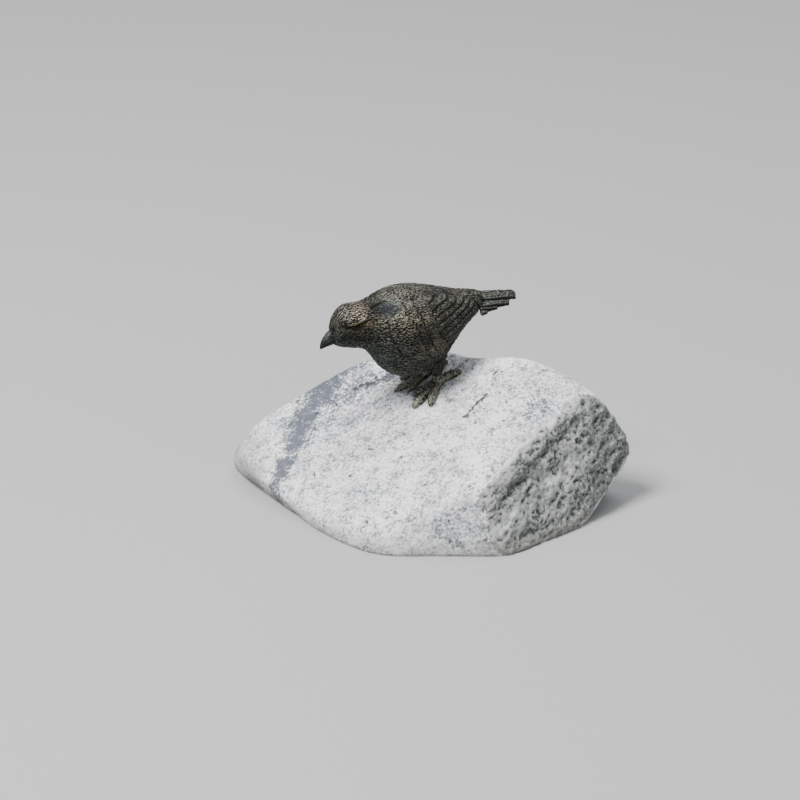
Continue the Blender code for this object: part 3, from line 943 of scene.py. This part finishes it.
    def _relief(self, skin: Skin) -> tuple[Array, Array]:
        """All the relief that is cut into the bird.

        Args:
            skin: the bird's skin, eased.

        Returns:
            Heights in millimetres, and how close each place is to a painted shade line along the
            feathers' edges and in the shoulder's crease.
        """
        at = self.stance.in_bird(skin.places)
        normals = skin.normals() @ self.stance.axes().T
        height = self.stance.height(skin.places)
        half = at * np.array([1.0, 0.0, 1.0]) + np.abs(at) * np.array([0.0, 1.0, 0.0])
        grain = Grain(5)
        wing, on_wing, line = self.wing.relief(at, grain.waves(at, 14.0))
        tail, seams = self.tail.relief(at, ease(-0.3, 0.3, normals[:, 2]))
        lie = self.plumage.lie(at, normals, self.head.bill_root)
        bill = self._on_bill(at)
        foot = ease(*self.feet_top, height)
        behind = ease(*self.plain_from, at[:, 0])
        feathered = (1 - bill) * (1 - foot) * (1 - behind) * (1 - 0.85 * self.hollow.share(half))
        eye = ease(*self.eye_clear, np.linalg.norm(half - np.array(self.head.eye), axis=1))
        small = self.plumage.scales(at, lie, normals) * self.plumage.lift
        strokes = self.plumage.strokes(at, lie, grain) * self.plumage.stroke_height
        relief = wing + (small * (1 - on_wing) + strokes * (1 - 0.5 * on_wing)) * feathered * eye
        relief += strokes * np.maximum(0.85 * behind, foot) + tail
        relief += self.head.relief(half) * (1 - foot)
        groove = self._shoulder_groove(half)
        relief -= self.hollow_depth * self.hollow.share(half) + groove
        rings = hill(self._ring_gap(at), 0.34) * ease(0.8, 1.8, height)
        relief -= self.ring_depth * foot * rings
        return relief, np.maximum.reduce([line, seams, groove])

    def _on_bill(self, at: Array) -> Array:
        """How far places are on the bill, from 0 to 1."""
        return ease(-0.3, 0.6, self.head.bill_edge(at)) * (at[:, 0] > self.bill_back)

    def _shoulder_groove(self, half: Array) -> Array:
        """How deep the crease between the folded wing and the neck is, in millimetres."""
        return self.crease_depth * hill(line_distance(half, self.crease), 1.2)

    def _ring_gap(self, at: Array) -> Array:
        """How far places are from the nearest ring round a toe.

        Args:
            at: places in the bird's frame.

        Returns:
            Millimetres.
        """
        reaches = [np.linalg.norm(at[:, :2] - np.array(root), axis=1) for root in self.toe_roots]
        reach = np.min(reaches, axis=0)
        return ((reach / self.scute) % 1.0 - 0.5) * self.scute

    def _press_soles(self, skin: Skin) -> None:
        """Brings the toes' undersides down onto the stone.

        Args:
            skin: the bird's skin.
        """
        height = self.stance.height(skin.places)
        down = np.array([*self.stance.slope, -1.0]) / math.hypot(1.0, *self.stance.slope)
        skin.places += down * (0.5 * (1 - ease(0.0, 1.4, height)))[:, None]

    def _store(self, skin: Skin, line: Array) -> None:
        """Stores what the patina, the painted shade and the painted sheen follow.

        Args:
            skin: the bird's skin, finished.
            line: how close each place is to a painted shade line along the feathers' edges and
                creases.
        """
        at = self.stance.in_bird(skin.places)
        half = at * np.array([1.0, 0.0, 1.0]) + np.abs(at) * np.array([0.0, 1.0, 0.0])
        grain = Grain(23)
        blotch = grain.rough(at, 9.0, 3)
        foot = ease(*self.patina_top, self.stance.height(skin.places))
        pits = np.clip(skin.hollows(3) / self.full_pit, -1.4, 1.4)
        skin.keep("pit", pits * (1 - 0.5 * foot))
        broad = np.clip(skin.hollows(26) / self.full_hollow, -1.5, 1.5)
        skin.keep("hollow", broad * (1 - foot))
        tints = {"worn": self.worn, "green": self.green, "painted_sheen": self.painted_sheen, "brown": self.brown}
        # painted shade: the near-black patches
        tints["painted_shade"] = self.painted_shade
        for name, patches in tints.items():
            share = np.max([patch.share(half) for patch in patches], axis=0)
            skin.keep(name, np.clip(share + blotch * 0.22 * (share > 0.05), 0.0, 1.0))
        # dark blue-grey: painted shade in the shoulder's hollow, and the bill's own darker tone
        skin.keep("painted_hollow_shade_and_bill_tone", np.maximum(self.hollow.share(half), 0.8 * self._on_bill(at)))
        skin.keep("foot", foot)
        # painted shade: near-black lines under the feathers' edges, below the wing and in the
        # shoulder's crease
        skin.keep("line", line)
        # painted shade: darker where the surface faces down
        skin.keep("under", ease(0.55, -0.45, skin.blurred(skin.normals(), 6)[:, 2]))


@dataclass
class EyeBeads:
    """The two small cast eyes."""

    stance: Stance
    centre: Place = HeadForm.eye
    radius: float = 2.15

    def build(self, finish: bpy.types.Material) -> list[bpy.types.Object]:
        """Makes both eyes in their finish."""
        return [self._bead(side, sign, finish) for side, sign in (("left", 1.0), ("right", -1.0))]

    def _bead(self, side: str, sign: float, finish: bpy.types.Material) -> bpy.types.Object:
        """Makes one eye.

        Args:
            side: "left" or "right".
            sign: 1 on the left, -1 on the right.
            finish: its material.

        Returns:
            The eye.
        """
        u, v, w = self.centre
        middle = self.stance.from_bird((u, v * sign, w)) * MM
        ball = bmesh.new()
        bmesh.ops.create_icosphere(ball, subdivisions=4, radius=self.radius * MM)
        bmesh.ops.translate(ball, verts=ball.verts, vec=middle)
        mesh = bpy.data.meshes.new("eye_bead_" + side)
        ball.to_mesh(mesh)
        ball.free()
        mesh.shade_smooth()
        mesh.materials.append(finish)
        bead = bpy.data.objects.new("eye_bead_" + side, mesh)
        bpy.context.scene.collection.objects.link(bead)
        unwrap(bead)
        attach(bead, "root")
        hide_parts("eye_" + side)
        return bead


# ---- the stone -----------------------------------------------------------------------------------
@dataclass
class Boulder:
    """The marble boulder: worn pale faces, a broken end, dark veins and a darker foot."""

    stance: Stance
    voxel: float = 1.45
    ease_rounds: int = 14
    broken_look: Way = (0.63, -0.70, 0.34)  # the way that the break faces
    vein_middle: Place = (-89.0, 38.0, 42.0)  # a sheet right through
    vein_look: Way = (0.86, -0.49, 0.17)
    vein_half: Pair = (6.0, 18.0)  # its half width at the two heights
    vein_heights: Pair = (24.0, 58.0)
    branch: tuple[Place, ...] = ((-66.0, 53.0, 58.0), (-31.0, 54.0, 72.0))
    streaks: tuple[tuple[Place, ...], ...] = (
        ((39.0, 0.0, 82.0), (25.0, -14.0, 70.0)),
        ((-32.0, 54.0, 72.0), (-52.0, 55.0, 64.0)),
    )
    spot_from: float = 0.62  # how high the grain stands where a small dark spot shows
    blue_spot: Place = (77.0, -19.0, 78.0)
    crack: tuple[Place, ...] = ((102.0, -17.0, 69.0), (50.0, -82.0, 37.0))
    break_from: Pair = (6.0, 20.0)  # x over which the break may begin
    far_from: Pair = (92.0, 118.0)  # x over which the break turns dark
    seat_clear: Pair = (8.0, 30.0)  # how far from the seat the slow waves begin
    veil_from: Pair = (-15.0, -70.0)  # x over which a grey veil thickens
    veil_heights: Pair = (30.0, 56.0)
    lower_darkening_top: Pair = (16.0, 0.0)  # heights over which the stone grows darker towards the bottom
    nose_from: Pair = (-108.0, -128.0)  # x over which painted shade darkens the lower part of the left end
    nose_top: Pair = (40.0, 16.0)
    full_pit: float = 0.4  # how deep a full pit is
    up_break: Way = (-0.45, 0.02, 0.89)  # across the break, towards the worn slope
    run: float = 0.60  # how far the break's ridges are drawn out along its edge, up to 1

    def build(self, finish: bpy.types.Material) -> bpy.types.Object:
        """Makes the boulder.

        Args:
            finish: its material.

        Returns:
            The boulder.
        """
        piece = drawn_over(["stone_base"], 0.0, self.voxel, "marble_boulder")
        skin = Skin(piece.data)
        floor = skin.places[:, 2] < 1.2
        skin.smooth(np.where(floor, 0.15, 1.0), self.ease_rounds)
        skin.write()
        unwrap(piece)
        broken = self._broken(skin)
        skin.raise_by(self._relief(skin, broken))
        skin.places[floor, 2] = 0.0
        skin.places[:, 2] = skin.places[:, 2].clip(0.0, None)
        self._store(skin, broken)
        piece.data.materials.append(finish)
        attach(piece, "root")
        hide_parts("stone_base")
        return piece

    def _broken(self, skin: Skin) -> Array:
        """Where the stone is broken rather than worn.

        Args:
            skin: the boulder's skin, eased.

        Returns:
            Shares from 0 to 1.
        """
        at = skin.places
        grain = Grain(31)
        look = skin.blurred(skin.normals(), 3) @ unit(np.array(self.broken_look))
        ragged = grain.rough(at, 11.0, 3) * 0.10
        return ease(0.80, 0.90, look + ragged) * ease(*self.break_from, at[:, 0])

    def _relief(self, skin: Skin, broken: Array) -> Array:
        """The stone's relief.

        Args:
            skin: the boulder's skin, eased.
            broken: where it is broken.

        Returns:
            Heights in millimetres.
        """
        at = skin.places
        grain = Grain(37)
        seat = ease(*self.seat_clear, np.linalg.norm(self.stance.in_bird(at)[:, :2], axis=1))
        worn = grain.rough(at, 27.0, 2) * 0.9 * seat
        worn += grain.rough(at, 6.5, 3) * 0.32 * (0.4 + 0.6 * seat)
        along = unit(np.array(self.crack[1]) - np.array(self.crack[0]))
        ridged = at - self.run * (at @ along)[:, None] * along
        rough = grain.rough(ridged, 13.0, 4, crests=True) * 2.6 - 1.0
        rough += grain.rough(at, 7.0, 3, crests=True) * 1.6
        crack = -2.2 * hill(line_distance(at, self.crack) + grain.waves(at, 11.0) * 3.0, 3.2)
        chips = grain.rough(at, 5.0, 2) * 0.9 * broken * (1 - broken) * 4
        return worn * (1 - broken) + (rough + crack) * broken - np.maximum(chips, 0.0)

    def _store(self, skin: Skin, broken: Array) -> None:
        """Stores what the stone's colours follow.

        Args:
            skin: the boulder's skin, finished.
            broken: where it is broken.
        """
        at = skin.places
        grain = Grain(41)
        wander = grain.rough(at, 12.0, 3)
        sheet = np.abs((at - np.array(self.vein_middle)) @ unit(np.array(self.vein_look)))
        half_width = np.interp(at[:, 2], self.vein_heights, self.vein_half)
        vein = 1 - ease(0.0, 1.8, (sheet + wander * 11.0) / half_width)
        branch = 0.75 * (1 - ease(0.0, 15.0, line_distance(at, self.branch) + wander * 8.0))
        spot = np.linalg.norm(at - np.array(self.blue_spot), axis=1)
        blue = 0.75 * (1 - ease(2.0, 17.0, spot + wander * 7.0))
        skin.keep("band", np.maximum.reduce([vein, branch, blue]))
        veil = ease(*self.veil_from, at[:, 0] + wander * 12.0) * ease(*self.veil_heights, at[:, 2])
        skin.keep("veil", veil)
        crevice = hill(line_distance(at, self.crack) + wander * 6.0, 6.0) * broken
        edge = 4 * broken * (1 - broken) * ease(-0.2, 0.5, grain.rough(at, 14.0, 2))
        far_end = ease(*self.far_from, at[:, 0] + wander * 12.0) * broken * 0.75
        skin.keep("crevice", np.maximum.reduce([crevice, edge, far_end]))
        above = ((at - np.array(self.crack[0])) @ unit(np.array(self.up_break))) + wander * 5.0
        pale = ease(4.0, 12.0, above) + 0.7 * hill(above + 22.0, 7.0)
        skin.keep("pale_rock", np.clip(pale, 0.0, 1.0) * broken * (1 - far_end))
        fine = grain.rough(at, 4.0, 2)
        streak = np.min([line_distance(at, line) for line in self.streaks], axis=0)
        spots = 0.8 * ease(self.spot_from, self.spot_from + 0.12, grain.waves(at, 7.0))
        skin.keep("dark", np.maximum(1 - ease(0.2, 3.4, streak + fine * 3.4), spots))
        skin.keep("broken", broken)
        skin.keep("pit", np.clip(skin.hollows(5) / self.full_pit, -1.5, 1.5))
        # darker towards the bottom, with painted shade on the lower part of the left end
        lower_darkening = ease(*self.lower_darkening_top, at[:, 2] + wander * 7.0) * 0.8
        nose = ease(*self.nose_from, at[:, 0] + wander * 8.0) * ease(*self.nose_top, at[:, 2])
        skin.keep("lower_darkening", np.maximum(lower_darkening, nose * 0.9))


# ---- finishes -----------------------------------------------------------------------------------
@dataclass(frozen=True)
class BronzeFinish:
    """Dark patinated bronze with green and brown patches, golden wear that is partly a painted
    highlight, painted shade, a painted sheen and painted glints. Sizes are metres.
    """

    dark: Colour = (0.006, 0.0065, 0.0055)
    mid: Colour = (0.062, 0.065, 0.053)
    # golden wear, partly a painted highlight
    worn: Colour = (0.34, 0.28, 0.21)
    green: Colour = (0.050, 0.072, 0.068)
    # painted sheen: a lilac-grey reflection
    painted_sheen: Colour = (0.130, 0.125, 0.135)
    # dark blue-grey for the painted shade in the shoulder's hollow and for the bill's tone
    painted_hollow_shade_and_bill_tone: Colour = (0.017, 0.021, 0.025)
    # painted shade: the near-black of the painted shade patches and lines
    painted_shade: Colour = (0.008, 0.008, 0.0065)
    olive: Colour = (0.220, 0.222, 0.172)
    # painted glint: the colour of small bright sparkles
    painted_glint: Colour = (0.33, 0.33, 0.28)
    brown: Colour = (0.12, 0.076, 0.030)
    fine_size: float = 0.0010
    blotch_size: float = 0.008
    fine_depth: float = 0.0004

    def make(self) -> bpy.types.Material:
        """Makes the material.

        Returns:
            The material.
        """
        recipe = Recipe("patinated_bronze")
        at = recipe.place()
        pit, hollow = recipe.stored("pit"), recipe.stored("hollow")
        fine = recipe.speckle(at, self.fine_size, 2.0, 0.75) - 0.5
        blotch = recipe.speckle(at, self.blotch_size, 4.0, 0.68) - 0.5
        # painted shade: the stored share darkens the surfaces that face down
        under = recipe.stored("under")
        light = 0.50 - pit * 0.80 - hollow * 0.34 + fine * 2.9 + blotch * 2.0 - under * 0.20
        light = light.clamped()
        colour = recipe.mix(light, self.dark, self.mid)
        # painted sheen: a lilac-grey reflection where the tone is light
        colour = recipe.mix(recipe.stored("painted_sheen") * 0.22 * light, colour, self.painted_sheen)
        green = (recipe.stored("green") * 0.75 + blotch * 0.5 - 0.02).clamped()
        colour = recipe.mix(green * recipe.step(light, 0.2, 0.8), colour, self.green)
        colour = recipe.mix(recipe.stored("brown") * 0.95 * light, colour, self.brown)
        foot = recipe.stored("foot") * 0.85
        colour = recipe.mix(foot * recipe.step(light, 0.1, 0.7), colour, self.olive)
        # golden wear on the crests and patches, partly a painted highlight, held back where the
        # painted underside shade falls
        wear_and_painted_highlight = recipe.stored("worn") * 1.1 + blotch * 0.5 + 0.10 - under * 0.15
        colour = recipe.mix((wear_and_painted_highlight * recipe.step(light, 0.35, 1.0)).clamped(), colour, self.worn)
        # painted glints: sparse bright specks where the tone is light
        painted_spark = recipe.step(recipe.speckle(at, self.fine_size, 1.0), 0.62, 0.74) * light
        colour = recipe.mix(painted_spark * 0.55, colour, self.painted_glint)
        # painted shade: near-black patches where shade falls
        colour = recipe.mix(recipe.stored("painted_shade") * 0.92, colour, self.painted_shade)
        # painted shade in the shoulder's hollow, and the bill's darker tone
        colour = recipe.mix(recipe.stored("painted_hollow_shade_and_bill_tone") * 0.85, colour, self.painted_hollow_shade_and_bill_tone)
        # painted shade: near-black lines along the feathers' edges and creases
        colour = recipe.mix(recipe.stored("line") * 0.95, colour, self.painted_shade)
        recipe.feed(
            Base_Color=colour,
            Metallic=0.70 - green * 0.3,
            Specular_IOR_Level=0.2,
            Roughness=0.60 - light * 0.16,
            Normal=recipe.bump(fine, self.fine_depth),
        )
        return recipe.material


@dataclass(frozen=True)
class EyeFinish:
    """Smooth dark bronze. Sizes are metres."""

    dark: Colour = (0.006, 0.006, 0.0055)
    light: Colour = (0.024, 0.023, 0.020)
    grime_size: float = 0.0008

    def make(self) -> bpy.types.Material:
        """Makes the material.

        Returns:
            The material.
        """
        recipe = Recipe("dark_bronze")
        grime = recipe.speckle(recipe.place(), self.grime_size)
        recipe.feed(
            Base_Color=recipe.mix(grime, self.dark, self.light),
            Metallic=0.7,
            Roughness=0.38 + grime * 0.25,
        )
        return recipe.material


@dataclass(frozen=True)
class MarbleFinish:
    """Crystalline marble: white, mottled grey, with blue-grey veins and a broken end.

    Sizes are metres.
    """

    white: Colour = (0.88, 0.88, 0.875)
    grey: Colour = (0.15, 0.158, 0.185)
    blue: Colour = (0.070, 0.082, 0.110)
    dark: Colour = (0.022, 0.025, 0.033)
    broken: Colour = (0.36, 0.37, 0.345)
    broken_dark: Colour = (0.035, 0.045, 0.039)
    # the colour of the darker bottom and of the painted shade at the left end
    lower_darkening: Colour = (0.20, 0.20, 0.165)
    crystal_size: float = 0.0017
    fine_size: float = 0.0019
    patch_size: float = 0.010
    speck_size: float = 0.016
    cloud_size: float = 0.034
    grain_depth: float = 0.0009

    def make(self) -> bpy.types.Material:
        """Makes the material.

        Returns:
            The material.
        """
        recipe = Recipe("veined_marble")
        at = recipe.place()
        grain = recipe.crystals(at, self.crystal_size) - 0.5
        fine = recipe.speckle(at, self.fine_size, 3.0, 0.75) - 0.5
        patch = recipe.speckle(at, self.patch_size, 3.0, 0.65) - 0.5
        cloud = recipe.speckle(at, self.cloud_size, 3.0, 0.55)
        veil, pit = recipe.stored("veil"), recipe.stored("pit")
        mottle = cloud * 1.8 + patch * 2.0 + grain * 0.8 + fine * 3.8 + veil * 0.45
        colour = recipe.mix(recipe.step(mottle, 0.15, 2.10), self.white, self.grey)
        band = recipe.stored("band") * 1.3 + grain * 0.5 + fine * 2.2 + patch * 2.2
        colour = recipe.mix(recipe.step(band, 0.05, 1.25) * 0.95, colour, self.blue)
        broken = recipe.step(recipe.stored("broken") + fine * 1.1 + grain * 0.35, 0.30, 0.62)
        # partly painted shade: the pits push the broken face towards its dark colour
        speck = recipe.speckle(at, self.speck_size, 4.0, 0.7) + pit * 0.20 + fine * 1.2
        rock = recipe.mix(recipe.step(speck, 0.26, 0.84), self.broken, self.broken_dark)
        crevice = recipe.stored("crevice") + fine * 1.4 + patch * 1.0
        rock = recipe.mix(recipe.step(crevice, 0.25, 1.05) * 0.85, rock, self.broken_dark)
        pale = recipe.step(recipe.stored("pale_rock") + patch * 1.6 + fine * 1.2, 0.15, 1.0)
        rock = recipe.mix(pale * 0.62, rock, self.white)
        colour = recipe.mix(broken * 0.94, colour, rock)
        # painted shade: darker in the pits
        colour = recipe.mix(recipe.step(pit, 0.1, 1.3) * 0.7, colour, self.dark)
        streak = recipe.stored("dark") + fine * 1.1 + grain * 0.35
        colour = recipe.mix(recipe.step(streak, 0.30, 0.9) * 0.95, colour, self.dark)
        # darker towards the bottom, with painted shade on the lower part of the left end
        colour = recipe.mix(recipe.stored("lower_darkening") * (0.35 + cloud * 0.6), colour, self.lower_darkening)
        recipe.feed(
            Base_Color=colour,
            Roughness=0.58 + broken * 0.18,
            Metallic=0.0,
            Normal=recipe.bump(grain * 0.4 + fine, self.grain_depth),
        )
        return recipe.material


# ---- the studio ---------------------------------------------------------------------------------
@dataclass(frozen=True)
class Studio:
    """A pale floor, soft lights, and the camera. Sizes and places are metres."""

    floor_colour: Colour = (0.36, 0.36, 0.355)
    floor_size: float = 14.0
    air_colour: Colour = (0.86, 0.90, 1.0)
    air_strength: float = 0.45
    lamps_aim: Place = (0.0, 0.0, 0.06)
    elevation: float = 22.0  # degrees that the camera looks down
    distance: float = 2.5
    lens: float = 160.7
    target: Place = (-0.0207, 0.0, 0.06)
    raised: float = 0.0156

    def build(self) -> None:
        """Makes the floor, the lights and the camera."""
        self._floor()
        self._light("key", (-1.3, -0.9, 2.6), 1.1, 190.0)
        self._light("fill", (1.8, -1.6, 1.3), 2.2, 14.0)
        self._light("top", (0.3, 0.9, 2.5), 2.0, 40.0)
        world = bpy.data.worlds.new("studio_air")
        world.use_nodes = True
        air = world.node_tree.nodes["Background"].inputs
        air["Color"].default_value = (*self.air_colour, 1.0)
        air["Strength"].default_value = self.air_strength
        bpy.context.scene.world = world
        self._camera()

    def _floor(self) -> None:
        """Lays the floor."""
        bpy.ops.mesh.primitive_plane_add(size=self.floor_size, location=(0.0, 0.0, 0.0))
        floor = bpy.context.object
        floor.name = "studio_floor"
        recipe = Recipe("studio_floor")
        recipe.feed(Base_Color=(*self.floor_colour, 1.0), Roughness=0.9)
        floor.data.materials.append(recipe.material)

    def _light(self, name: str, place: Place, size: float, power: float) -> None:
        """Hangs a square lamp that looks at the object.

        Args:
            name: the lamp's name.
            place: where it hangs, in metres.
            size: its side in metres.
            power: its power in watts.
        """
        lamp = bpy.data.lights.new(name, "AREA")
        lamp.size = size
        lamp.energy = power
        hung = bpy.data.objects.new(name, lamp)
        hung.location = place
        aim = Vector(self.lamps_aim) - Vector(place)
        hung.rotation_euler = aim.to_track_quat("-Z", "Y").to_euler()
        bpy.context.scene.collection.objects.link(hung)

    def _camera(self) -> None:
        """Sets up the camera."""
        turn = math.radians(self.elevation)
        up = Vector((0.0, math.sin(turn), math.cos(turn)))
        back = Vector((0.0, -math.cos(turn), math.sin(turn)))
        lens = bpy.data.cameras.new("camera")
        lens.lens = self.lens
        lens.sensor_width = 36.0
        lens.clip_end = 50.0
        camera = bpy.data.objects.new("camera", lens)
        camera.location = Vector(self.target) + up * self.raised + back * self.distance
        camera.rotation_euler = (math.radians(90.0 - self.elevation), 0.0, 0.0)
        bpy.context.scene.collection.objects.link(camera)
        bpy.context.scene.camera = camera


class Group(Enum):
    """CAD nodes that are replaced by pieces of their own, apart from the bird's skin."""

    EYES = ("eye_left", "eye_right")
    STONE = ("stone_base",)


def main() -> None:
    """Builds everything in order."""
    logging.basicConfig(level=logging.INFO, format="%(message)s")
    stance = Stance()
    apart = {node for group in Group for node in group.value}
    cast = [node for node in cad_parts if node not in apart]
    made = [BronzeBird(stance).build(cast, BronzeFinish().make())]
    made += EyeBeads(stance).build(EyeFinish().make())
    made.append(Boulder(stance).build(MarbleFinish().make()))
    for piece in made:
        log.info("%s: %d faces", piece.name, len(piece.data.polygons))
    Studio().build()


if __name__ == "__main__":
    main()
